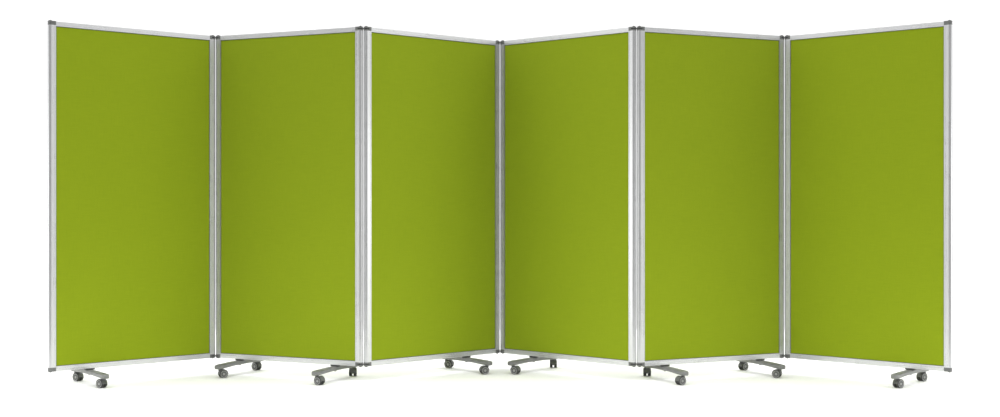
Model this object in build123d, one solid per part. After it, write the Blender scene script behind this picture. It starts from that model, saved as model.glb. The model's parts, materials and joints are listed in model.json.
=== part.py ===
"""Six-panel mobile folding screen: fabric-covered boards in aluminium frames, joined edge to edge
by double-pin link hinges at top and bottom, standing on cross feet with twin-wheel casters.

Millimetres, +Z up, floor at z = 0. The origin is the floor point under the middle of the standing
screen's bounding box. +X runs along the screen from panel 1 to panel 6, and the front faces -Y.
Every panel is drawn in its own local frame first: x = 0 on its left pivot axis, x = PIVOT_SPAN on
its right one, y = 0 in the middle of its thickness. It is then turned and moved into its place.
"""
from build123d import *
import os
from math import cos, radians, sin

# panel
PANEL_WIDTH = 900.0  # over the two rounded edges
PANEL_HEIGHT = 1710.0
PANEL_THICKNESS = 26.0
FLOOR_GAP = 80.0  # floor to the underside of the bottom rail
STILE_WIDTH = 36.0
RAIL_HEIGHT = 25.0
FRAME_WALL = 2.0
BOARD_THICKNESS = 18.0
GROOVE_DEPTH = 8.0  # slot in the extrusions that the board's edge sits in
BOARD_EDGE_PLAY = 0.5  # left between the board's edge and the bottom of the groove
TRIM_LINE_INSET = 6.0  # decorative line in the frame's faces, from the inner edge
TRIM_LINE_WIDTH = 1.0
TRIM_LINE_DEPTH = 0.8
RAIL_EDGE_RADIUS = 2.5
JOIN_OVERLAP = 1.0  # how far shapes that fuse into one solid run into each other

# corner caps
CAP_HEIGHT = 20.0
SPIGOT_LENGTH = 20.0  # into the stile and into the rail
SPIGOT_PLAY = 0.2
CAP_EDGE_RADIUS = 1.5
BOSS_RADIUS = 7.0  # round boss over each pivot
BOSS_HEIGHT = 2.0

# link hinges
EDGE_GAP = 3.0  # between the rounded edges of neighbouring panels, at every fold angle
LINK_THICKNESS = 5.0
LINK_RADIUS = 9.0
LINK_PLAY = 0.4  # above and below the link in its slot, and behind its end
PIN_RADIUS = 4.0
PIN_PLAY = 0.05
PIN_HEAD_RADIUS = 6.0
PIN_HEAD_HEIGHT = 2.0
PIN_HEAD_EDGE_RADIUS = 0.7
PIN_HEAD_PLAY = 0.3
PIN_END_STOCK = 3.0  # cap material left beyond the pin's blind end

# the standing zigzag: each panel's turn about +Z, in degrees
PANEL_YAWS = (40.5, -24.5, 41.0, -41.0, 24.5, -40.5)

# feet: places along each panel, as a share of the panel pitch from its left fold line
FOOT_PLACES = ((0.235,), (0.17, 0.82), (0.74,), (0.26,), (0.18, 0.83), (0.765,))
ARM_WIDTH = 36.0
ARM_TOP = 73.0
ARM_DEPTH = 21.0
ARM_FLAT_HALF = 60.0  # level middle of the arm, each way from the panel
ARM_DROP = 3.0  # how much lower the arm is at its ends
ARM_HALF_LENGTH = 205.0
NOSE_THICKNESS = 22.0
NOSE_BOTTOM = 46.5
NOSE_EDGE_RADIUS = 8.0
STEM_OFFSET = 170.0  # caster stem from the panel's mid plane
SOCKET_RADIUS = 10.0
SOCKET_BOTTOM = 46.0
PAD_LENGTH = 50.0
PAD_WIDTH = 24.0
PAD_CORNER_RADIUS = 4.0
BOLT_RADIUS = 4.0
BOLT_PLAY = 0.2
BOLT_HEAD_RADIUS = 6.5
BOLT_HEAD_HEIGHT = 5.0
BOLT_REACH = 9.0  # bolt end above the rail's underside

# twin-wheel casters
WHEEL_RADIUS = 21.0
WHEEL_WIDTH = 14.0
WHEEL_EDGE_RADIUS = 2.5
WHEEL_DISH_RADIUS = 14.5
WHEEL_DISH_DEPTH = 2.0
HUB_RADIUS = 5.5
WEB_THICKNESS = 8.0
WEB_RADIUS = 9.0
WEB_GAP = 1.0
HOOD_OUTER = 23.8
HOOD_INNER = 21.8
HOOD_WIDTH = 32.0
AXLE_RADIUS = 3.0
AXLE_HALF_LENGTH = 17.0
TRAIL = 15.0  # stem axis to axle
STEM_RADIUS = 5.5
STEM_PLAY = 0.05
STEM_TOP = 64.0
SWIVEL_BOSS_RADIUS = 9.5
SWIVEL_BOSS_BOTTOM = 36.0
SWIVEL_BOSS_TOP = 45.5

# direction in which each caster trails, in degrees from its panel's front side, front then rear
CASTER_TRAILS = (
    ((200, 20),),
    ((144, 264), (84, 204)),
    ((249, 29),),
    ((101, 221),),
    ((-84, 156), (216, 96)),
    ((160, -20),),
)

HALF_THICKNESS = PANEL_THICKNESS / 2
PIVOT_SPAN = PANEL_WIDTH - PANEL_THICKNESS
LINK_LENGTH = PANEL_THICKNESS + EDGE_GAP
PANEL_PITCH = PIVOT_SPAN + LINK_LENGTH
FACE_REACH = STILE_WIDTH - HALF_THICKNESS  # pivot axis to the stile's inner edge
PANEL_TOP = FLOOR_GAP + PANEL_HEIGHT
SLOT_HEIGHT = LINK_THICKNESS + 2 * LINK_PLAY


def slab(x0, x1, y_half, z0, z1):
    """A box between two x and two z values, centred on y = 0."""
    return Pos((x0 + x1) / 2, 0, (z0 + z1) / 2) * Box(x1 - x0, 2 * y_half, z1 - z0)


def post(x, y, radius, z0, z1):
    """An upright cylinder."""
    return Pos(x, y, (z0 + z1) / 2) * Cylinder(radius, z1 - z0)


def edge_section(radius, reach):
    """A round-ended outline about the left pivot axis, reaching inwards to x = reach."""
    return Circle(radius) + Pos(reach / 2, 0) * Rectangle(reach, 2 * radius)


def trim_lines(along, across):
    """The two grooves that mark the inner lip on the front and back faces, as a sketch."""
    depth = HALF_THICKNESS - TRIM_LINE_DEPTH / 2
    lines = Sketch()
    for side in (-1, 1):
        lines += Pos(along, side * depth) * Rectangle(across, TRIM_LINE_DEPTH)
    return lines


def stile():
    """The left upright extrusion, round outside and grooved inside for the board."""
    chamber_reach = FACE_REACH - GROOVE_DEPTH - FRAME_WALL
    section = edge_section(HALF_THICKNESS, FACE_REACH)
    section -= edge_section(HALF_THICKNESS - FRAME_WALL, chamber_reach)
    section -= Pos(FACE_REACH - GROOVE_DEPTH / 2, 0) * Rectangle(GROOVE_DEPTH, BOARD_THICKNESS)
    section -= trim_lines(FACE_REACH - TRIM_LINE_INSET, TRIM_LINE_WIDTH)
    return Pos(0, 0, FLOOR_GAP + CAP_HEIGHT) * extrude(section, PANEL_HEIGHT - 2 * CAP_HEIGHT)


def top_rail():
    """The top extrusion, between the two upper corner caps."""
    length = PIVOT_SPAN - 2 * FACE_REACH
    chamber = RAIL_HEIGHT - GROOVE_DEPTH - 2 * FRAME_WALL
    outline = Pos(RAIL_HEIGHT / 2, 0) * Rectangle(RAIL_HEIGHT, PANEL_THICKNESS)
    outer_corners = outline.vertices().sort_by(Axis.X)[2:]
    section = fillet(outer_corners, RAIL_EDGE_RADIUS)
    section -= Pos(GROOVE_DEPTH / 2, 0) * Rectangle(GROOVE_DEPTH, BOARD_THICKNESS)
    hollow_width = PANEL_THICKNESS - 2 * FRAME_WALL
    section -= Pos(GROOVE_DEPTH + FRAME_WALL + chamber / 2, 0) * Rectangle(chamber, hollow_width)
    section -= trim_lines(TRIM_LINE_INSET, TRIM_LINE_WIDTH)
    upright = Plane(origin=(FACE_REACH, 0, PANEL_TOP - RAIL_HEIGHT), x_dir=(0, 0, 1), z_dir=(1, 0, 0))
    return upright * extrude(section, length)


def upside_down(shape):
    """The same piece turned over about the panel's middle height."""
    return mirror(shape, Plane.XY.offset(FLOOR_GAP + PANEL_HEIGHT / 2))


def other_hand(shape):
    """The same piece on the panel's other edge."""
    return mirror(shape, Plane.YZ.offset(PIVOT_SPAN / 2))


def panel_board():
    """The fabric-covered board, its edges in the grooves of the frame."""
    x_in = FACE_REACH - GROOVE_DEPTH + BOARD_EDGE_PLAY
    z_in = RAIL_HEIGHT - GROOVE_DEPTH + BOARD_EDGE_PLAY
    bottom, top = FLOOR_GAP + z_in, PANEL_TOP - z_in
    return slab(x_in, PIVOT_SPAN - x_in, BOARD_THICKNESS / 2, bottom, top)


def upper_cap(hinged):
    """The upper left corner cap: block, two spigots and boss, slotted and bored where it is hinged."""
    base = PANEL_TOP - CAP_HEIGHT
    block = extrude(edge_section(HALF_THICKNESS, FACE_REACH), CAP_HEIGHT)
    cap = Pos(0, 0, base) * fillet(block.edges().group_by(Axis.Z)[-1], CAP_EDGE_RADIUS)
    cap += post(0, 0, BOSS_RADIUS, PANEL_TOP - CAP_EDGE_RADIUS, PANEL_TOP + BOSS_HEIGHT)
    inner = HALF_THICKNESS - FRAME_WALL - SPIGOT_PLAY
    stile_reach = FACE_REACH - GROOVE_DEPTH - FRAME_WALL - SPIGOT_PLAY
    cap += Pos(0, 0, base - SPIGOT_LENGTH) * extrude(edge_section(inner, stile_reach), SPIGOT_LENGTH)
    groove_top = PANEL_TOP - RAIL_HEIGHT + GROOVE_DEPTH
    spigot_bottom = groove_top + FRAME_WALL + SPIGOT_PLAY
    spigot_top = PANEL_TOP - FRAME_WALL - SPIGOT_PLAY
    spigot_end = FACE_REACH + SPIGOT_LENGTH
    cap += slab(FACE_REACH - JOIN_OVERLAP, spigot_end, inner, spigot_bottom, spigot_top)
    cap -= slab(FACE_REACH - GROOVE_DEPTH, FACE_REACH, BOARD_THICKNESS / 2, base, groove_top)
    if not hinged:
        return cap + post(0, 0, PIN_HEAD_RADIUS, PANEL_TOP, PANEL_TOP + BOSS_HEIGHT + PIN_HEAD_HEIGHT)
    middle = base + CAP_HEIGHT / 2
    slot_back = LINK_RADIUS + LINK_PLAY
    slot_bottom, slot_top = middle - SLOT_HEIGHT / 2, middle + SLOT_HEIGHT / 2
    cap -= slab(-PANEL_THICKNESS, slot_back, PANEL_THICKNESS, slot_bottom, slot_top)
    return cap - post(0, 0, PIN_RADIUS + PIN_PLAY, base + PIN_END_STOCK, PANEL_TOP + 2 * BOSS_HEIGHT)


def upper_link():
    """The link that joins two neighbouring pivots, drawn from the first one along +x."""
    middle = PANEL_TOP - CAP_HEIGHT / 2
    outline = Circle(LINK_RADIUS) + Pos(LINK_LENGTH, 0) * Circle(LINK_RADIUS)
    outline += Pos(LINK_LENGTH / 2, 0) * Rectangle(LINK_LENGTH, 2 * LINK_RADIUS)
    link = Pos(0, 0, middle - LINK_THICKNESS / 2) * extrude(outline, LINK_THICKNESS)
    for x in (0, LINK_LENGTH):
        link -= post(x, 0, PIN_RADIUS, middle - LINK_THICKNESS, middle + LINK_THICKNESS)
    return link


def upper_pin(x):
    """A headed pin, pressed into the link and turning in the cap."""
    head_seat = PANEL_TOP + BOSS_HEIGHT + PIN_HEAD_PLAY
    shank_end = PANEL_TOP - CAP_HEIGHT + PIN_END_STOCK + PIN_HEAD_PLAY
    shank = post(x, 0, PIN_RADIUS, shank_end, head_seat + PIN_HEAD_HEIGHT / 2)
    head = post(x, 0, PIN_HEAD_RADIUS, head_seat, head_seat + PIN_HEAD_HEIGHT)
    return shank + fillet(head.edges().group_by(Axis.Z)[-1], PIN_HEAD_EDGE_RADIUS)


def foot_arm():
    """The cross arm under a panel, with a down-turned nose and a caster socket at each end."""
    nose_in = ARM_HALF_LENGTH - NOSE_THICKNESS
    end_top = ARM_TOP - ARM_DROP
    half = [
        (ARM_FLAT_HALF, ARM_TOP),
        (nose_in, end_top),
        (ARM_HALF_LENGTH, end_top - ARM_DROP),
        (ARM_HALF_LENGTH, NOSE_BOTTOM),
        (nose_in, NOSE_BOTTOM),
        (ARM_FLAT_HALF, ARM_TOP - ARM_DEPTH),
    ]
    outline = half + [(-y, z) for y, z in reversed(half)]
    side = make_face(Polyline(*outline, close=True))
    side = fillet(side.vertices().group_by(Axis.Y)[0], NOSE_EDGE_RADIUS)
    arm = Plane(origin=(-ARM_WIDTH / 2, 0, 0), x_dir=(0, 1, 0), z_dir=(1, 0, 0)) * extrude(side, ARM_WIDTH)
    plan = SlotOverall(2 * ARM_HALF_LENGTH, ARM_WIDTH, rotation=90)
    arm &= extrude(plan, ARM_TOP)
    for y in (-STEM_OFFSET, STEM_OFFSET):
        arm += post(0, y, SOCKET_RADIUS, SOCKET_BOTTOM, ARM_TOP - ARM_DEPTH)
        arm -= post(0, y, STEM_RADIUS + STEM_PLAY, 0, STEM_TOP + STEM_PLAY)
    return arm - post(0, 0, BOLT_RADIUS + BOLT_PLAY, 0, ARM_TOP)


def foot_pad():
    """The spacer between an arm and the bottom rail."""
    pad = extrude(RectangleRounded(PAD_LENGTH, PAD_WIDTH, PAD_CORNER_RADIUS), FLOOR_GAP - ARM_TOP)
    return Pos(0, 0, ARM_TOP) * pad - post(0, 0, BOLT_RADIUS + BOLT_PLAY, ARM_TOP, FLOOR_GAP)


def foot_bolt():
    """The hexagon bolt that holds an arm and its pad to the bottom rail."""
    seat = ARM_TOP - ARM_DEPTH
    head = extrude(RegularPolygon(BOLT_HEAD_RADIUS, 6), BOLT_HEAD_HEIGHT)
    shank = post(0, 0, BOLT_RADIUS, seat, FLOOR_GAP + BOLT_REACH)
    return Pos(0, 0, seat - BOLT_HEAD_HEIGHT) * head + shank


def foot_places(panel):
    """The x of each foot of a panel, in the panel's own frame."""
    return [share * PANEL_PITCH - LINK_LENGTH / 2 for share in FOOT_PLACES[panel]]


def cross_cylinder(radius, half_width):
    """A cylinder about the caster's axle."""
    return Pos(TRAIL, 0, WHEEL_RADIUS) * Rot(90, 0, 0) * Cylinder(radius, 2 * half_width)


def caster_swivel():
    """The caster's stem, web and hood in one moulding. It trails along +x from the stem axis."""
    ring = cross_cylinder(HOOD_OUTER, HOOD_WIDTH / 2) - cross_cylinder(HOOD_INNER, HOOD_WIDTH)
    upper_half = slab(-HOOD_OUTER, TRAIL + HOOD_OUTER, HOOD_WIDTH, WHEEL_RADIUS, 3 * WHEEL_RADIUS)
    body = ring & upper_half
    body += cross_cylinder(WEB_RADIUS, WEB_THICKNESS / 2)
    body += cross_cylinder(HOOD_INNER + JOIN_OVERLAP, WEB_THICKNESS / 2) & upper_half
    boss = post(0, 0, SWIVEL_BOSS_RADIUS, SWIVEL_BOSS_BOTTOM, SWIVEL_BOSS_TOP)
    body += boss - cross_cylinder(HOOD_INNER, HOOD_WIDTH)
    body += post(0, 0, STEM_RADIUS, SWIVEL_BOSS_TOP - JOIN_OVERLAP, STEM_TOP)
    return body - cross_cylinder(AXLE_RADIUS + PIN_PLAY, HOOD_WIDTH)


def caster_wheels():
    """The two wheels and the axle pressed into them."""
    blank = Cylinder(WHEEL_RADIUS, WHEEL_WIDTH)
    wheel = fillet(blank.edges().filter_by(GeomType.CIRCLE), WHEEL_EDGE_RADIUS)
    dish = Cylinder(WHEEL_DISH_RADIUS, WHEEL_DISH_DEPTH) - Cylinder(HUB_RADIUS, WHEEL_DISH_DEPTH)
    wheel -= Pos(0, 0, (WHEEL_WIDTH - WHEEL_DISH_DEPTH) / 2) * dish
    wheel -= Cylinder(AXLE_RADIUS, WHEEL_WIDTH)
    middle = WEB_THICKNESS / 2 + WEB_GAP + WHEEL_WIDTH / 2
    pieces = [cross_cylinder(AXLE_RADIUS, AXLE_HALF_LENGTH)]
    for turn in (90, -90):
        pieces.append(Pos(TRAIL, 0, WHEEL_RADIUS) * Rot(turn, 0, 0) * Pos(0, 0, middle) * wheel)
    return pieces


def step_from(point, heading, distance):
    """The point a distance away in the plan, at a heading in degrees from +X."""
    return (point[0] + distance * cos(radians(heading)), point[1] + distance * sin(radians(heading)))


def chain():
    """Every panel's left pivot and every link's (first pivot, heading), from panel 1 to panel 6."""
    lefts, links = [], []
    point = (0.0, 0.0)
    for index, yaw in enumerate(PANEL_YAWS):
        lefts.append(point)
        point = step_from(point, yaw, PIVOT_SPAN)
        if index + 1 < len(PANEL_YAWS):
            heading = (yaw + PANEL_YAWS[index + 1]) / 2
            links.append((point, heading))
            point = step_from(point, heading, LINK_LENGTH)
    return lefts, links


LEFT_PIVOTS, LINK_PLACES = chain()


def at(point, heading):
    """The placement of a local frame at a plan point, turned to a heading."""
    return Location((point[0], point[1], 0), (0, 0, heading))


def caster_places():
    """Every caster's name, plan point and trailing heading."""
    places = []
    for panel, (left, yaw) in enumerate(zip(LEFT_PIVOTS, PANEL_YAWS)):
        for foot, x in enumerate(foot_places(panel)):
            middle = step_from(left, yaw, x)
            for end, side in (("front", -1), ("rear", 1)):
                trail = CASTER_TRAILS[panel][foot][side > 0]
                name = f"caster_{panel + 1}{'ab'[foot]}_{end}"
                point = step_from(middle, yaw + 90, side * STEM_OFFSET)
                places.append((name, point, yaw - 90 + trail))
    return places


def node(pieces, place):
    """One sub-part: its solids, placed."""
    solids = []
    for piece in pieces:
        solids += (place * piece).solids()
    return Compound(children=solids)


def panel_nodes(panel):
    """The frame, board, and caps and feet of one panel."""
    place = at(LEFT_PIVOTS[panel], PANEL_YAWS[panel])
    left_stile, upper_rail = stile(), top_rail()
    lower_rail = upside_down(upper_rail)
    left_cap, right_cap = upper_cap(panel > 0), other_hand(upper_cap(panel < len(PANEL_YAWS) - 1))
    fittings = [left_cap, right_cap, upside_down(left_cap), upside_down(right_cap)]
    for x in foot_places(panel):
        lower_rail -= post(x, 0, BOLT_RADIUS + BOLT_PLAY, FLOOR_GAP, FLOOR_GAP + FRAME_WALL)
        fittings += [Pos(x, 0, 0) * part for part in (foot_arm(), foot_pad(), foot_bolt())]
    name = f"panel_{panel + 1}"
    return {
        f"{name}_frame": node([left_stile, other_hand(left_stile), upper_rail, lower_rail], place),
        f"{name}_board": node([panel_board()], place),
        f"{name}_caps_and_feet": node(fittings, place),
    }


def fold_nodes(fold):
    """The two links and four pins between one panel and the next."""
    place = at(*LINK_PLACES[fold])
    link, pins = upper_link(), [upper_pin(0), upper_pin(LINK_LENGTH)]
    name = f"fold_{fold + 1}{fold + 2}"
    return {
        f"{name}_links": node([link, upside_down(link)], place),
        f"{name}_pins": node(pins + [upside_down(pin) for pin in pins], place),
    }


def all_nodes():
    """Every sub-part by name, with panel 1's left pivot over the origin."""
    nodes = {}
    for panel in range(len(PANEL_YAWS)):
        nodes.update(panel_nodes(panel))
    for fold in range(len(LINK_PLACES)):
        nodes.update(fold_nodes(fold))
    swivel, wheels = caster_swivel(), caster_wheels()
    for name, point, heading in caster_places():
        nodes[f"{name}_swivel"] = node([swivel], at(point, heading))
        nodes[f"{name}_wheels"] = node(wheels, at(point, heading))
    return nodes


NODES = all_nodes()
BOXES = [shape.bounding_box() for shape in NODES.values()]
MIDDLE_X = (min(box.min.X for box in BOXES) + max(box.max.X for box in BOXES)) / 2
MIDDLE_Y = (min(box.min.Y for box in BOXES) + max(box.max.Y for box in BOXES)) / 2

os.makedirs("parts", exist_ok=True)
for name, shape in NODES.items():
    export_step(Pos(-MIDDLE_X, -MIDDLE_Y, 0) * shape, f"parts/{name}.step")
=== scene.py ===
import json
from math import atan2, cos, pi, radians, sin

import bpy
import bmesh
from mathutils import Matrix, Vector


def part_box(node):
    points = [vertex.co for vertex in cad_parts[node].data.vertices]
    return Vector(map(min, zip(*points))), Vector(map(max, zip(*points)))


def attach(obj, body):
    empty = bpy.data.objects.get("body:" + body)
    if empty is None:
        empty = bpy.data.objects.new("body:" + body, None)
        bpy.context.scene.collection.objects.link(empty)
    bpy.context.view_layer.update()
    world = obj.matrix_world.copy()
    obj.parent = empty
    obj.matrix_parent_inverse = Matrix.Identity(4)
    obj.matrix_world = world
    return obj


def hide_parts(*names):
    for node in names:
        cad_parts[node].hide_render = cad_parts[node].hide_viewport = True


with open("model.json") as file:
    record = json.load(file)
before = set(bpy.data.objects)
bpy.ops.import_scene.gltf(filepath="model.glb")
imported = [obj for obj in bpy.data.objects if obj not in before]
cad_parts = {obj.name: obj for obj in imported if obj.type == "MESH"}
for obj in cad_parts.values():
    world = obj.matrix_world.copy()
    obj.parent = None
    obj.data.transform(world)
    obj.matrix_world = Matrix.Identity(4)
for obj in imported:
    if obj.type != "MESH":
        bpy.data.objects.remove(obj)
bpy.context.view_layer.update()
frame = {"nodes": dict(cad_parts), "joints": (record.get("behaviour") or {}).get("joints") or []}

# A mobile folding screen: six fabric-covered boards in aluminium frames, joined by link hinges,
# on cross feet with twin-wheel casters. Metres, in the CAD frame: +X along the screen, -Y front.

JOINTS = {joint["name"]: joint for joint in frame["joints"]}
PANELS = range(1, 7)
MM = 0.001

# frame
PANEL_THICKNESS = 26 * MM
STILE_WIDTH = 36 * MM
RAIL_HEIGHT = 25 * MM
CAP_HEIGHT = 20 * MM
BOARD_HALF = 9 * MM  # board's face from the panel's mid plane
BOARD_HIDDEN = 7.5 * MM  # width of board inside the frame's groove

# fabric
FABRIC_STAND = 1.0 * MM  # cloth's surface above the board's face
FABRIC_CLOTH = 0.7 * MM
FABRIC_EDGE_STAND = 0.15 * MM  # the same at the cloth's edge
FABRIC_COLUMNS = 14  # even divisions between the rolled edges
FABRIC_ROWS = 28
SHADOW_STRIP_WIDTH = 2.2 * MM  # dark grey strip between the cloth and the frame: a painted shadow line along the frame's inner edge
# the strip's section: share of its width from the frame, and height above the board in mm
SHADOW_STRIP_SECTION = ((0.0, 0.0), (0.0, 0.8), (0.25, 1.1), (0.5, 1.2), (0.75, 1.1), (1.0, 0.8), (1.0, 0.0))
FABRIC_CLEAR = 2.4 * MM  # from the cloth's edge to the frame
FABRIC_ROLL = 3.5 * MM  # how far in from its edge the cloth rises to its full height

# camera and light
CAMERA_BEHIND = 7.07  # from the middle fold to the camera
CAMERA_HEIGHT = 0.902
FOCAL_SHARE = 1.289  # focal length as a share of the picture's width
SENSOR_WIDTH = 36.0
HORIZON_SHIFT = -0.0055
FRONT_HALF_ANGLE = radians(50)  # half of the studio's dim front, and of its dim back
WALL_START_ANGLE = radians(68)
FRONT_GLOW = 0.38
WALL_GLOW = 1.25
CEILING_GLOW = 3.1
CEILING_RISE = (0.45, 0.9)  # upward part of a direction where the ceiling's glow begins and is full
BACKDROP_GLOW = 1.1
SIDE_LAMP_POWER = 27
SIDE_LAMP_OUT = 6.0  # from the middle to each side softbox
SIDE_LAMP_FRONT = 1.7
SIDE_LAMP_HEIGHT = 0.85
SIDE_LAMP_SIZE = (3.0, 1.6)
FLOOR_REACH = 7.0  # each way along the screen
FLOOR_FRONT = 1.5  # the white floor's front edge, outside the camera's view
FLOOR_BACK = 2.5


# ---------------------------------------------------------------- mesh helpers

def to_mesh(bm, name, angle=35):
    """A smooth-shaded mesh, kept sharp at edges that turn by more than an angle in degrees."""
    bmesh.ops.recalc_face_normals(bm, faces=bm.faces)
    mesh = bpy.data.meshes.new(name)
    bm.to_mesh(mesh)
    bm.free()
    mesh.shade_smooth()
    mesh.set_sharp_from_angle(angle=radians(angle))
    return mesh


def add_rings(bm, rings, capped=True):
    """Joins closed rings of points with quads; capped also fills the first and last one."""
    rows = [[bm.verts.new(point) for point in ring] for ring in rings]
    count = len(rows[0])
    for low, high in zip(rows, rows[1:]):
        for i in range(count):
            j = (i + 1) % count
            bm.faces.new((low[i], low[j], high[j], high[i]))
    if capped:
        bm.faces.new(rows[0])
        bm.faces.new(rows[-1])


def add_lathe(bm, profile, steps=32, place=Matrix(), capped=True):
    """Turns (radius, height) points about the local z axis."""
    rings = []
    for radius, height in profile:
        turns = (2 * pi * k / steps for k in range(steps))
        rings.append([place @ Vector((radius * cos(t), radius * sin(t), height)) for t in turns])
    add_rings(bm, rings, capped=capped)


def add_prism(bm, outline, low, high):
    """An outline of (x, y) points raised from z = low to z = high."""
    add_rings(bm, [[Vector((x, y, z)) for x, y in outline] for z in (low, high)])


def bevel(piece, width):
    modifier = piece.modifiers.new("rounded edges", "BEVEL")
    modifier.width = width
    modifier.segments = 3
    modifier.limit_method = "ANGLE"
    modifier.angle_limit = radians(40)
    modifier.harden_normals = True


def add_piece(name, mesh, body, material, place=Matrix()):
    piece = bpy.data.objects.new(name, mesh)
    bpy.context.scene.collection.objects.link(piece)
    piece.matrix_world = place
    if not mesh.materials:
        mesh.materials.append(material)
    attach(piece, body)
    return piece


# ------------------------------------------------------------------- materials

class Nodes:
    """A node tree, with short calls for the nodes that the materials and the world share."""

    def __init__(self, tree):
        self.tree = tree

    def add(self, kind, **settings):
        node = self.tree.nodes.new(kind)
        for key, value in settings.items():
            setattr(node, key, value)
        return node

    def link(self, output, target):
        self.tree.links.new(output, target)

    def coordinates(self, scale, turn=0.0):
        """The piece's own coordinates, stretched by scale on each axis."""
        mapping = self.add("ShaderNodeMapping")
        mapping.inputs["Scale"].default_value = scale
        mapping.inputs["Rotation"].default_value = (0, 0, turn)
        self.link(self.add("ShaderNodeTexCoord").outputs["Object"], mapping.inputs["Vector"])
        return mapping.outputs["Vector"]

    def noise(self, vector, scale, detail=3.0, roughness=0.55):
        node = self.add("ShaderNodeTexNoise")
        node.inputs["Scale"].default_value = scale
        node.inputs["Detail"].default_value = detail
        node.inputs["Roughness"].default_value = roughness
        self.link(vector, node.inputs["Vector"])
        return node.outputs["Fac"]

    def math(self, operation, a, b=None):
        node = self.add("ShaderNodeMath", operation=operation)
        for socket, value in zip(node.inputs, (a, b)):
            if value is None:
                continue
            if isinstance(value, (int, float)):
                socket.default_value = value
            else:
                self.link(value, socket)
        return node.outputs["Value"]

    def span(self, value, low, high, to_low, to_high):
        node = self.add("ShaderNodeMapRange")
        limits = {"From Min": low, "From Max": high, "To Min": to_low, "To Max": to_high}
        for key, number in limits.items():
            node.inputs[key].default_value = number
        self.link(value, node.inputs["Value"])
        return node.outputs["Result"]

    def mix(self, factor, a, b):
        """A colour between a and b, each a colour or another node's output."""
        node = self.add("ShaderNodeMix", data_type="RGBA")
        colours = [socket for socket in node.inputs if socket.type == "RGBA"]
        factors = [socket for socket in node.inputs if socket.name == "Factor" and socket.type == "VALUE"]
        self.link(factor, factors[0])
        for socket, value in zip(colours, (a, b)):
            if isinstance(value, tuple):
                socket.default_value = (*value, 1)
            else:
                self.link(value, socket)
        return [socket for socket in node.outputs if socket.type == "RGBA"][0]


class Surface(Nodes):
    """A new material's node tree."""

    def __init__(self, name):
        self.material = bpy.data.materials.new(name)
        self.material.use_nodes = True
        super().__init__(self.material.node_tree)
        self.shader = self.tree.nodes["Principled BSDF"]

    def finish(self, colour, roughness, height, strength, distance, metallic=0.0, edge=0.0):
        """Wires colour, roughness and bump; edge is the radius that sharp edges are shaded with."""
        self.link(colour, self.shader.inputs["Base Color"])
        self.link(roughness, self.shader.inputs["Roughness"])
        self.shader.inputs["Metallic"].default_value = metallic
        bump = self.add("ShaderNodeBump")
        bump.inputs["Strength"].default_value = strength
        bump.inputs["Distance"].default_value = distance
        self.link(height, bump.inputs["Height"])
        if edge:
            rounding = self.add("ShaderNodeBevel", samples=4)
            rounding.inputs["Radius"].default_value = edge
            self.link(rounding.outputs["Normal"], bump.inputs["Normal"])
        self.link(bump.outputs["Normal"], self.shader.inputs["Normal"])
        return self.material


def brushed_aluminium():
    """Satin anodised extrusion: fine lines along each bar, a little wear and cloudiness."""
    n = Surface("satin_aluminium")
    upright_lines = n.noise(n.coordinates((900, 900, 6)), 1.0, 4)
    level_lines = n.noise(n.coordinates((6, 6, 900)), 1.0, 4)
    height = n.add("ShaderNodeSeparateXYZ")
    n.link(n.add("ShaderNodeTexCoord").outputs["Object"], height.inputs["Vector"])
    low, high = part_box("panel_1_frame")[0][2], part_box("panel_1_frame")[1][2]
    below = n.math("LESS_THAN", height.outputs["Z"], low + RAIL_HEIGHT)
    above = n.math("GREATER_THAN", height.outputs["Z"], high - RAIL_HEIGHT)
    rail = n.math("ADD", below, above)
    lines = n.math("ADD", n.math("MULTIPLY", rail, level_lines),
                   n.math("MULTIPLY", n.math("SUBTRACT", 1.0, rail), upright_lines))
    clouds = n.noise(n.coordinates((1, 1, 1)), 7.0, 4)
    scuffs = n.noise(n.coordinates((60, 60, 22)), 1.0, 6, 0.7)
    base = n.mix(n.span(lines, 0.3, 0.7, 0, 1), (0.585, 0.59, 0.595), (0.635, 0.64, 0.645))
    colour = n.mix(n.span(scuffs, 0.68, 0.82, 0, 0.2), base, (0.5, 0.5, 0.5))
    rough = n.math("ADD", n.span(lines, 0.3, 0.7, 0.26, 0.31), n.span(clouds, 0.3, 0.7, -0.01, 0.02))
    return n.finish(colour, rough, lines, 0.06, 0.0001, metallic=0.72, edge=0.6 * MM)


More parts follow.
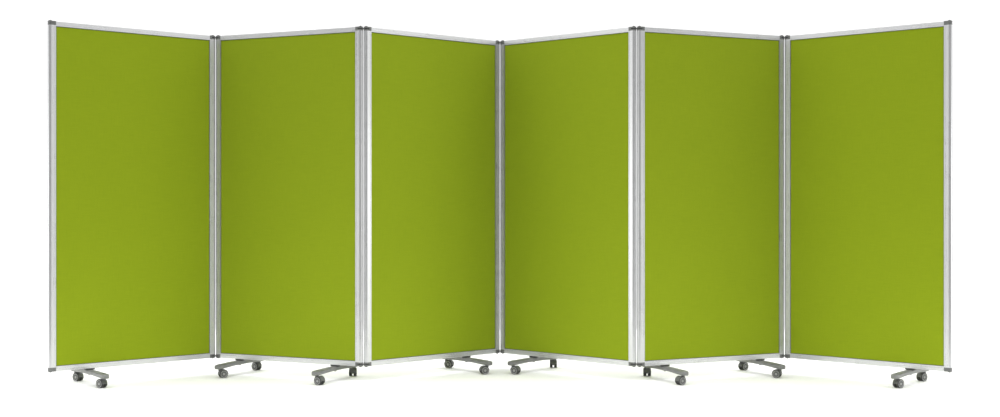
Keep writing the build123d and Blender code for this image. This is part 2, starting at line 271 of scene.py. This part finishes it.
def woven_fabric():
    """Lime loop-weave cloth: plain weave relief, mixed yarn tones, faint slubs and nap."""
    n = Surface("green_fabric")
    place = n.coordinates((1, 1, 1))
    split = n.add("ShaderNodeSeparateXYZ")
    n.link(place, split.inputs["Vector"])
    pitch = 1.3 * MM
    across = n.math("SINE", n.math("MULTIPLY", split.outputs["X"], 2 * pi / pitch))
    down = n.math("SINE", n.math("MULTIPLY", split.outputs["Z"], 2 * pi / pitch))
    weave = n.math("MULTIPLY", across, down)
    fuzz = n.noise(place, 1900.0, 2)
    relief = n.math("ADD", n.math("MULTIPLY", weave, 0.5), n.math("MULTIPLY", fuzz, 0.8))
    warp = n.noise(n.coordinates((700, 700, 14)), 1.0, 3)
    weft = n.noise(n.coordinates((14, 14, 700)), 1.0, 3)
    yarn = n.math("MULTIPLY", n.math("ADD", warp, weft), 0.5)
    broad = n.noise(place, 3.5, 3)
    tone = n.mix(n.span(yarn, 0.38, 0.62, 0, 1), (0.240, 0.325, 0.0084), (0.274, 0.358, 0.0108))
    shade = n.mix(n.span(weave, -1, 1, 0.0, 0.18), tone, (0.165, 0.23, 0.006))
    colour = n.mix(n.span(broad, 0.35, 0.65, 0, 0.06), shade, (0.31, 0.385, 0.015))
    rough = n.span(fuzz, 0.3, 0.7, 0.82, 0.95)
    n.shader.inputs["Sheen Weight"].default_value = 0.06
    n.shader.inputs["Sheen Roughness"].default_value = 0.5
    n.shader.inputs["Specular IOR Level"].default_value = 0.1
    return n.finish(colour, rough, relief, 0.35, 0.0005)


def moulded_plastic(name, dark, light, rough=0.5, grain=2600.0, edge=0.0, metallic=0.0):
    """Grained moulding: fine texture, faint flow marks and rubbed high spots."""
    n = Surface(name)
    place = n.coordinates((1, 1, 1))
    texture = n.noise(place, grain, 2)
    flow = n.noise(n.coordinates((30, 30, 110)), 1.0, 4)
    dust = n.noise(place, 160.0, 6, 0.7)
    base = n.mix(n.span(flow, 0.35, 0.65, 0, 1), dark, light)
    rubbed = tuple(min(1.0, 1.5 * channel) for channel in light)
    colour = n.mix(n.span(dust, 0.6, 0.78, 0, 0.3), base, rubbed)
    roughness = n.math("ADD", n.span(texture, 0.3, 0.7, rough - 0.06, rough + 0.08),
                       n.span(dust, 0.4, 0.7, -0.03, 0.05))
    return n.finish(colour, roughness, texture, 0.25, 0.00025, metallic, edge)


def plain_floor():
    n = Surface("pale_floor")
    place = n.coordinates((1, 1, 1))
    mottle = n.noise(place, 1.2, 3)
    colour = n.mix(n.span(mottle, 0.3, 0.7, 0, 1), (0.975, 0.975, 0.975), (0.99, 0.99, 0.99))
    return n.finish(colour, n.span(mottle, 0.3, 0.7, 0.6, 0.7), mottle, 0.02, 0.0005)


ALUMINIUM = brushed_aluminium()
FABRIC = woven_fabric()
BOARD_CORE = moulded_plastic("board_core", (0.12, 0.15, 0.02), (0.15, 0.19, 0.03), 0.85, 900.0)
CAP_GREY = moulded_plastic("cap_grey", (0.13, 0.135, 0.13), (0.17, 0.175, 0.17), 0.45)
FOOT_GREY = moulded_plastic("foot_grey", (0.15, 0.153, 0.148), (0.205, 0.209, 0.203), 0.36, 3200.0)
PAD_GREY = moulded_plastic("pad_dark_grey", (0.05, 0.052, 0.05), (0.07, 0.072, 0.07), 0.6)
LINK_GREY = moulded_plastic("link_dark_grey", (0.05, 0.05, 0.05), (0.075, 0.075, 0.072), 0.5, edge=0.8 * MM)
STEEL = moulded_plastic("darkened_steel", (0.2, 0.2, 0.2), (0.3, 0.3, 0.3), 0.35, 1500.0, 0.4 * MM, 0.9)
HOOD_GREY = moulded_plastic("caster_hood_grey", (0.09, 0.093, 0.09), (0.125, 0.128, 0.124), 0.36)
WHEEL_GREY = moulded_plastic("caster_wheel_grey", (0.27, 0.275, 0.267), (0.34, 0.345, 0.336), 0.38)
# painted shade: dark grey for the wheels' dished rings, the faces between the twin wheels and the axle
RECESS_SHADE_GREY = moulded_plastic("caster_recess_painted_shade_grey", (0.05, 0.051, 0.05), (0.08, 0.081, 0.079), 0.5)
TYRE_GREY = moulded_plastic("caster_tyre_grey", (0.03, 0.03, 0.029), (0.05, 0.05, 0.049), 0.65, 1800.0)


# ---------------------------------------------------------------------- panels

def panel_place(panel):
    """The panel's own frame: origin under its middle, +x along it, +y to its back."""
    board = frame["nodes"][f"panel_{panel}_board"].data
    plan = sorted((v.co.x, v.co.y) for v in board.vertices)
    half = len(plan) // 2
    left = Vector([sum(values) / half for values in zip(*plan[:half])])
    right = Vector([sum(values) / half for values in zip(*plan[-half:])])
    middle, along = (left + right) / 2, right - left
    turn = Matrix.Rotation(atan2(along.y, along.x), 4, "Z")
    return Matrix.Translation((middle.x, middle.y, 0)) @ turn, along.length / 2


def rise(distance):
    """The cloth's height above the board, at a distance from its edge."""
    share = min(max(distance / FABRIC_ROLL, 0.0), 1.0)
    return FABRIC_EDGE_STAND + (FABRIC_STAND - FABRIC_EDGE_STAND) * (1 - (1 - share) ** 2)


def stations(low, high, inner):
    """Grid lines from low to high: close together at the two edges, even in between."""
    edge = [0, 0.6 * MM, 1.4 * MM, 2.4 * MM, FABRIC_ROLL, 2 * FABRIC_ROLL]
    first, last = low + edge[-1], high - edge[-1]
    middle = [first + (last - first) * k / inner for k in range(1, inner)]
    return [low + e for e in edge] + middle + [high - e for e in reversed(edge)]


def fabric_mesh(half_width, low, high, side):
    """One face's cloth, stretched over the board; side is -1 at the front and 1 at the back."""
    columns = stations(-half_width, half_width, FABRIC_COLUMNS)
    rows = stations(low, high, FABRIC_ROWS)
    bm = bmesh.new()
    grid = []
    for z in rows:
        line = []
        for x in columns:
            edge = min(x + half_width, half_width - x, z - low, high - z)
            line.append(bm.verts.new((x, side * (BOARD_HALF + rise(edge)), z)))
        grid.append(line)
    for lower, upper in zip(grid, grid[1:]):
        for i in range(len(columns) - 1):
            corners = (lower[i], lower[i + 1], upper[i + 1], upper[i])
            bm.faces.new(corners if side < 0 else corners[::-1])
    mesh = bpy.data.meshes.new("fabric")
    bm.to_mesh(mesh)
    bm.free()
    mesh.shade_smooth()
    return mesh


def shadow_strip_mesh(half_width, low, high, side):
    """The dark grey strip round one face's cloth, its outer edge against the frame: painted shadow along
    the frame's inner edge.
    """
    corners = ((-half_width, low), (half_width, low), (half_width, high), (-half_width, high))
    rings = []
    for share, stand in SHADOW_STRIP_SECTION:
        inset = share * SHADOW_STRIP_WIDTH
        ring = []
        for x, z in corners:
            ring.append((x - inset if x > 0 else x + inset, side * (BOARD_HALF + stand * MM),
                         z - inset if z == high else z + inset))
        rings.append(ring)
    bm = bmesh.new()
    rows = [[bm.verts.new(point) for point in ring] for ring in rings]
    for outer, inner in zip(rows, rows[1:] + rows[:1]):
        for i in range(len(corners)):
            j = (i + 1) % len(corners)
            bm.faces.new((outer[i], outer[j], inner[j], inner[i]))
    return to_mesh(bm, "shadow_strip", 50)


def add_shadow_strips(panel, place, half_board):
    low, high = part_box(f"panel_{panel}_board")
    bottom, top = low[2] + BOARD_HIDDEN, high[2] - BOARD_HIDDEN
    for label, side in (("front", -1), ("back", 1)):
        mesh = shadow_strip_mesh(half_board - BOARD_HIDDEN, bottom, top, side)
        name = f"panel_{panel}_gasket_{label}"
        # painted shadow: a dark strip in the caps' grey along the frame's inner edge
        add_piece(name, mesh, f"panel_{panel}", CAP_GREY, place)


def add_fabric(panel, place, half_board):
    low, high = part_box(f"panel_{panel}_board")
    half_width = half_board - BOARD_HIDDEN - FABRIC_CLEAR
    bottom = low[2] + BOARD_HIDDEN + FABRIC_CLEAR
    top = high[2] - BOARD_HIDDEN - FABRIC_CLEAR
    for label, side in (("front", -1), ("back", 1)):
        mesh = fabric_mesh(half_width, bottom, top, side)
        name = f"panel_{panel}_fabric_{label}"
        piece = add_piece(name, mesh, f"panel_{panel}", FABRIC, place)
        cloth = piece.modifiers.new("cloth thickness", "SOLIDIFY")
        cloth.thickness = FABRIC_CLOTH
        cloth.offset = -1


# ---------------------------------------------------------------- corner caps

CAP_RADIUS = PANEL_THICKNESS / 2
CAP_REACH = STILE_WIDTH - CAP_RADIUS
CAP_EDGE = 0.9 * MM
LINK_SLOT = 5.8 * MM  # height of the slot that the hinge link turns in
SLOT_BACK = 9.4 * MM  # the slot's depth behind the pivot axis
SEAM_DEPTH = 0.5 * MM  # shallow band round a cap without a hinge
BOSS_RADIUS = 7 * MM
BOSS_HEIGHT = 2 * MM
BOSS_SUNK = 1 * MM
BOSS_EDGE = 0.6 * MM
NUB_RADIUS = 6 * MM  # second step of the boss, at the screen's two free ends
NUB_HEIGHT = 2 * MM
NUB_EDGE = 0.7 * MM


def cap_outline(shrink=0.0, steps=24):
    """The cap in plan: a half circle about the pivot axis, then straight to the rail."""
    radius = CAP_RADIUS - shrink
    arc = [(radius * cos(pi / 2 + pi * k / steps), radius * sin(pi / 2 + pi * k / steps))
           for k in range(steps + 1)]
    return arc + [(CAP_REACH, -radius), (CAP_REACH, radius)]


def cap_mesh(hinged):
    """An upper left cap, its pivot at x = 0 and the panel's top at z = 0."""
    middle = -CAP_HEIGHT / 2
    bm = bmesh.new()
    slot_low, slot_high = middle - LINK_SLOT / 2, middle + LINK_SLOT / 2
    if hinged:
        add_prism(bm, cap_outline(), -CAP_HEIGHT, slot_low)
        add_prism(bm, cap_outline(), slot_high, 0)
        core = [(SLOT_BACK, -CAP_RADIUS), (CAP_REACH, -CAP_RADIUS),
                (CAP_REACH, CAP_RADIUS), (SLOT_BACK, CAP_RADIUS)]
        add_prism(bm, core, slot_low, slot_high)
    else:
        add_prism(bm, cap_outline(), -CAP_HEIGHT, slot_low)
        add_prism(bm, cap_outline(SEAM_DEPTH), slot_low, slot_high)
        add_prism(bm, cap_outline(), slot_high, 0)
    boss = [(BOSS_RADIUS, -BOSS_SUNK), (BOSS_RADIUS, BOSS_HEIGHT - BOSS_EDGE),
            (BOSS_RADIUS - BOSS_EDGE, BOSS_HEIGHT)]
    if not hinged:
        nub = BOSS_HEIGHT + NUB_HEIGHT
        boss += [(NUB_RADIUS, BOSS_HEIGHT), (NUB_RADIUS, nub - NUB_EDGE), (NUB_RADIUS - NUB_EDGE, nub)]
    add_lathe(bm, boss)
    return to_mesh(bm, "hinged_cap" if hinged else "end_cap")


CAPS = {True: cap_mesh(True), False: cap_mesh(False)}


def add_caps(panel, place, half_board):
    body = f"panel_{panel}"
    low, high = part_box(f"{body}_frame")
    pivot = half_board - BOARD_HIDDEN + STILE_WIDTH - CAP_RADIUS
    for side, label in ((-1, "left"), (1, "right")):
        free = (panel == PANELS[0] and side < 0) or (panel == PANELS[-1] and side > 0)
        for level, z in (("top", high[2]), ("bottom", low[2])):
            corner = place @ Matrix.Translation((side * pivot, 0, z))
            if side > 0:
                corner = corner @ Matrix.Rotation(pi, 4, "Z")
            if level == "bottom":
                corner = corner @ Matrix.Rotation(pi, 4, "X")
            name = f"{body}_cap_{label}_{level}"
            cap = add_piece(name, CAPS[not free], body, CAP_GREY, corner)
            bevel(cap, CAP_EDGE)


# ------------------------------------------------------------------------ feet

ARM_UNDER = 52 * MM
ARM_TOP = 73 * MM
PAD_SUNK = 0.4 * MM  # how far the pad reaches into the arm
PAD_HALF_LENGTH = 25 * MM
PAD_HALF_WIDTH = 12 * MM
# the arm's sections from its middle to one nose: distance out, top, bottom and half width, in mm
ARM_SECTIONS = (
    (0, 73, 52, 18), (60, 73, 52, 18), (110, 72, 49.9, 18), (150, 71, 48.1, 18), (183, 70, 46.6, 18),
    (190, 69.5, 46.6, 17.7), (195, 68.6, 47.1, 16.3), (199, 67.2, 48.4, 14), (202, 65.2, 50.6, 11.2),
    (204, 62.4, 53.4, 7.6), (204.8, 60, 56, 4.4),
)


def arm_ring(y, top, bottom, half_width, steps=32, square=5.0):
    """An upright rounded rectangle across the arm."""
    middle, half_depth = (top + bottom) / 2, (top - bottom) / 2
    ring = []
    for k in range(steps):
        t = 2 * pi * k / steps
        c, s = cos(t), sin(t)
        x = half_width * abs(c) ** (2 / square) * (1 if c >= 0 else -1)
        z = middle + half_depth * abs(s) ** (2 / square) * (1 if s >= 0 else -1)
        ring.append(Vector((x, y, z)) * MM)
    return ring


def arm_mesh():
    rings = [arm_ring(-y, *section) for y, *section in reversed(ARM_SECTIONS[1:])]
    rings += [arm_ring(y, *section) for y, *section in ARM_SECTIONS]
    bm = bmesh.new()
    add_rings(bm, rings)
    return to_mesh(bm, "foot_arm", 50)


def socket_mesh(stem_offset):
    """The two caster sockets under the arm, and the round plugs over them."""
    bm = bmesh.new()
    for y in (-stem_offset, stem_offset):
        spot = Matrix.Translation((0, y, 0))
        column = [(5.6, 52), (5.6, 46.6), (6.2, 46.1), (9.2, 46.1), (10, 46.9), (10, 49.5)]
        add_lathe(bm, [(r * MM, z * MM) for r, z in column], place=spot, capped=False)
        plug = [(8.5, 68), (8.5, 71.2), (7.7, 71.8), (6.8, 71.3), (3, 71.3), (2.4, 71.9), (0.6, 71.9)]
        add_lathe(bm, [(r * MM, z * MM) for r, z in plug], place=spot)
    return to_mesh(bm, "foot_sockets", 40)


def pad_mesh(low, high):
    """The spacer between arm and rail, waisted at mid height."""
    bm = bmesh.new()
    rings = []
    for share, size in ((0, 0.97), (0.12, 1.0), (0.45, 0.985), (0.55, 0.985), (0.88, 1.0), (1, 0.97)):
        z = low + (high - low) * share
        ring = []
        for k in range(32):
            t = 2 * pi * k / 32
            x = PAD_HALF_LENGTH * size * abs(cos(t)) ** 0.4 * (1 if cos(t) >= 0 else -1)
            y = PAD_HALF_WIDTH * size * abs(sin(t)) ** 0.4 * (1 if sin(t) >= 0 else -1)
            ring.append(Vector((x, y, z)))
        rings.append(ring)
    add_rings(bm, rings)
    return to_mesh(bm, "foot_pad", 40)


def bolt_mesh(seat):
    """A washer and a hexagon head below the arm."""
    bm = bmesh.new()
    washer = [(8.5, 0.2), (8.5, -1.0), (8.0, -1.3), (5, -1.3)]
    add_lathe(bm, [(r * MM, seat + z * MM) for r, z in washer])
    head = [(6.5, -1.2), (6.5, -4.6), (5.7, -5.0), (1, -5.0)]
    add_lathe(bm, [(r * MM, seat + z * MM) for r, z in head], steps=6)
    return to_mesh(bm, "foot_bolt", 20)


def feet_of(panel):
    """Each foot's label and its place: the middle between its two caster stems."""
    for letter in "ab":
        front, rear = (JOINTS.get(f"caster_{panel}{letter}_{end}_turn") for end in ("front", "rear"))
        if front:
            front, rear = Vector(front["pos_m"]), Vector(rear["pos_m"])
            middle, across = (front + rear) / 2, rear - front
            turn = Matrix.Rotation(atan2(-across.x, across.y), 4, "Z")
            yield letter, Matrix.Translation((middle.x, middle.y, 0)) @ turn, across.length / 2


ARM = arm_mesh()
PAD = pad_mesh(ARM_TOP - PAD_SUNK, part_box("panel_1_frame")[0][2])
BOLT = bolt_mesh(ARM_UNDER)
SOCKETS = socket_mesh(next(feet_of(1))[2])


def add_feet(panel):
    body = f"panel_{panel}"
    for letter, place, _ in feet_of(panel):
        foot = f"{body}_foot_{letter}"
        add_piece(f"{foot}_arm", ARM, body, FOOT_GREY, place)
        add_piece(f"{foot}_sockets", SOCKETS, body, CAP_GREY, place)
        add_piece(f"{foot}_pad", PAD, body, PAD_GREY, place)
        add_piece(f"{foot}_bolt", BOLT, body, STEEL, place)


# --------------------------------------------------------------------- casters

WHEEL_RADIUS = 21 * MM
TRAIL = 15 * MM
WHEEL_INNER_FACE = 5 * MM  # from the caster's mid plane
WHEEL_RIBS = 8
DISH = (6.3 * MM, 14.7 * MM)  # inner and outer radius of the dished ring in a wheel's face


def axle_frame():
    """Caster-local placement of a lathe's axis along the axle."""
    return Matrix.Translation((TRAIL, 0, WHEEL_RADIUS)) @ Matrix.Rotation(-pi / 2, 4, "X")


def wheel_frames():
    """Placements of a lathe's axis at the inner face of each wheel, pointing outwards."""
    for flip in (0, pi):
        outwards = axle_frame() @ Matrix.Rotation(flip, 4, "X")
        yield outwards @ Matrix.Translation((0, 0, WHEEL_INNER_FACE))


def over_wheels(radius, y, steps=32):
    """Points on the upper half circle about the axle, from a radius and a y in mm."""
    points = []
    for k in range(steps + 1):
        t = pi * k / steps
        x, z = TRAIL + radius * MM * cos(t), WHEEL_RADIUS + radius * MM * sin(t)
        points.append(Vector((x, y * MM, z)))
    return points


def hood_mesh():
    """Stem, collar, web and hood, one moulding."""
    bm = bmesh.new()
    section = [(-16, 21.9), (-16, 23), (-15.3, 23.6), (-14.2, 23.8),
               (14.2, 23.8), (15.3, 23.6), (16, 23), (16, 21.9)]
    arcs = [over_wheels(radius, y) for y, radius in section]
    add_rings(bm, list(zip(*arcs)))
    add_rings(bm, [over_wheels(22.6, -4), over_wheels(22.6, 4)])
    eye = [(2.9, -4), (8.4, -4), (9, -3.4), (9, 3.4), (8.4, 4), (2.9, 4)]
    add_lathe(bm, [(r * MM, y * MM) for r, y in eye], place=axle_frame())
    collar = [(5, 37), (9.5, 37), (9.5, 43.6), (8.9, 45.0), (7.2, 45.5), (5.5, 45.5), (5.5, 54)]
    add_lathe(bm, [(r * MM, z * MM) for r, z in collar])
    return to_mesh(bm, "caster_hood", 40)


def wheels_mesh():
    """The two wheels' rims, discs and hubs, with ribs in the dished face, and the axle."""
    bm = bmesh.new()
    profile = [(3.2, 0.4), (15.6, 0.4), (16.6, 0), (18.4, 0), (18.4, 13.6), (17.8, 14), (16.8, 14),
               (15.2, 13.2), (14.4, 12), (6.6, 12), (6.1, 13.2), (5.4, 13.8), (3.2, 14), (2.6, 13.7),
               (0.8, 13.7)]
    for side in wheel_frames():
        add_lathe(bm, [(r * MM, y * MM) for r, y in profile], steps=48, place=side)
        for k in range(WHEEL_RIBS):
            rib = side @ Matrix.Rotation(2 * pi * k / WHEEL_RIBS, 4, "Z")
            ends = []
            for r, half in ((5.8, 0.9), (15.2, 0.7)):
                corners = ((-half, 11.6), (half, 11.6), (half * 0.7, 12.9), (-half * 0.7, 12.9))
                ends.append([rib @ Vector((r * MM, y * MM, z * MM)) for y, z in corners])
            add_rings(bm, ends)
    add_lathe(bm, [(3 * MM, y * MM) for y in (-17, 17)], steps=24, place=axle_frame())
    axle = Vector((TRAIL, 0, WHEEL_RADIUS))
    # painted shade: the dished rings, the faces between the twin wheels and the axle take the dark grey
    for face in bm.faces:
        middle = face.calc_center_median() - axle
        radius, out = Vector((middle.x, middle.z)).length, abs(middle.y) - WHEEL_INNER_FACE
        dished = DISH[0] < radius < DISH[1] and 11.5 * MM < out < 12.5 * MM
        face.material_index = 1 if dished or out < 0.5 * MM else 0
    mesh = to_mesh(bm, "caster_wheels", 35)
    mesh.materials.append(WHEEL_GREY)
    mesh.materials.append(RECESS_SHADE_GREY)
    return mesh


def tyres_mesh():
    """The two tread rings, crowned, with a fine groove round the middle."""
    bm = bmesh.new()
    ring = [(18.3, 0.3), (19.8, 0.3), (20.6, 0.9), (20.9, 2), (21, 4), (21, 6.3), (20.6, 6.7), (20.6, 7.3),
            (21, 7.7), (21, 10), (20.9, 12), (20.6, 13.1), (19.8, 13.7), (18.3, 13.7)]
    for side in wheel_frames():
        add_lathe(bm, [(r * MM, y * MM) for r, y in ring], steps=64, place=side, capped=False)
    return to_mesh(bm, "caster_tyres", 40)


HOOD = hood_mesh()
WHEELS = wheels_mesh()
TYRES = tyres_mesh()


def add_casters():
    for name, turn in JOINTS.items():
        if not name.endswith("_turn"):
            continue
        caster = name.removesuffix("_turn")
        stem, axle = Vector(turn["pos_m"]), Vector(JOINTS[f"{caster}_roll"]["pos_m"])
        heading = Matrix.Rotation(atan2(axle.y - stem.y, axle.x - stem.x), 4, "Z")
        place = Matrix.Translation((stem.x, stem.y, 0)) @ heading
        swivel, wheels = f"{caster}_swivel", f"{caster}_wheels"
        hood = add_piece(f"{caster}_hood", HOOD, swivel, HOOD_GREY, place)
        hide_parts(swivel)
        rims = add_piece(f"{caster}_rims", WHEELS, wheels, WHEEL_GREY, place)
        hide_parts(wheels)
        add_piece(f"{caster}_tyres", TYRES, wheels, TYRE_GREY, place)


# ------------------------------------------------------------------- the screen

def finish_cad(ending, material):
    """A better material on every CAD node whose name has an ending."""
    for name, node in frame["nodes"].items():
        if name.endswith(ending):
            node.data.materials.clear()
            node.data.materials.append(material)


def build_screen():
    for panel in PANELS:
        place, half_board = panel_place(panel)
        add_fabric(panel, place, half_board)
        add_shadow_strips(panel, place, half_board)
        # painted shadow strips along each frame's inner edges
        add_caps(panel, place, half_board)
        add_feet(panel)
        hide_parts(f"panel_{panel}_caps_and_feet")
    add_casters()
    finish_cad("_frame", ALUMINIUM)
    finish_cad("_board", BOARD_CORE)
    finish_cad("_links", LINK_GREY)
    finish_cad("_pins", STEEL)


def add_floor():
    bm = bmesh.new()
    corners = ((-FLOOR_REACH, -FLOOR_FRONT), (FLOOR_REACH, -FLOOR_FRONT), (FLOOR_REACH, FLOOR_BACK),
               (-FLOOR_REACH, FLOOR_BACK))
    bm.faces.new([bm.verts.new((x, y, 0)) for x, y in corners])
    mesh = bpy.data.meshes.new("floor")
    bm.to_mesh(mesh)
    bm.free()
    floor = bpy.data.objects.new("floor", mesh)
    bpy.context.scene.collection.objects.link(floor)
    mesh.materials.append(plain_floor())


def add_softbox(name, place, target, width, height, power):
    light = bpy.data.lights.new(name, "AREA")
    light.shape = "RECTANGLE"
    light.size, light.size_y, light.energy = width, height, power
    lamp = bpy.data.objects.new(name, light)
    lamp.location = place
    lamp.rotation_euler = (Vector(target) - Vector(place)).to_track_quat("-Z", "Y").to_euler()
    lamp.visible_camera = False
    bpy.context.scene.collection.objects.link(lamp)


def add_world():
    """A white studio: dimmer in front and behind, bright walls at both sides and a bright ceiling."""
    world = bpy.data.worlds.new("studio")
    bpy.context.scene.world = world
    world.use_nodes = True
    n = Nodes(world.node_tree)
    split = n.add("ShaderNodeSeparateXYZ")
    n.link(n.add("ShaderNodeTexCoord").outputs["Generated"], split.inputs["Vector"])
    across, away = (n.math("ABSOLUTE", split.outputs[axis]) for axis in "XY")
    sideways = n.math("ARCTAN2", across, away)
    wall = n.span(sideways, FRONT_HALF_ANGLE, WALL_START_ANGLE, FRONT_GLOW, WALL_GLOW)
    ceiling = n.span(split.outputs["Z"], *CEILING_RISE, 0.0, 1.0)
    glow = n.math("ADD", n.math("MULTIPLY", wall, n.math("SUBTRACT", 1.0, ceiling)),
                  n.math("MULTIPLY", ceiling, CEILING_GLOW))
    seen = n.add("ShaderNodeLightPath").outputs["Is Camera Ray"]
    strength = n.math("MAXIMUM", glow, n.math("MULTIPLY", seen, BACKDROP_GLOW))
    n.link(strength, n.tree.nodes["Background"].inputs["Strength"])
    n.tree.nodes["Background"].inputs["Color"].default_value = (1, 1, 1, 1)


def add_light():
    add_world()
    for side in (-1, 1):
        name = "softbox_left" if side < 0 else "softbox_right"
        place = (side * SIDE_LAMP_OUT, -SIDE_LAMP_FRONT, SIDE_LAMP_HEIGHT)
        add_softbox(name, place, (0, 0, SIDE_LAMP_HEIGHT), *SIDE_LAMP_SIZE, SIDE_LAMP_POWER)


def add_camera():
    middle_fold = Vector(JOINTS["panel_3_to_link_34"]["pos_m"])
    camera = bpy.data.cameras.new("camera")
    camera.sensor_width = SENSOR_WIDTH
    camera.lens = FOCAL_SHARE * SENSOR_WIDTH
    camera.shift_y = HORIZON_SHIFT
    viewer = bpy.data.objects.new("camera", camera)
    viewer.location = (0, middle_fold.y - CAMERA_BEHIND, CAMERA_HEIGHT)
    viewer.rotation_euler = (pi / 2, 0, 0)
    bpy.context.scene.collection.objects.link(viewer)
    bpy.context.scene.camera = viewer


build_screen()
add_floor()
add_light()
add_camera()
bpy.context.scene.view_settings.view_transform = "Standard"
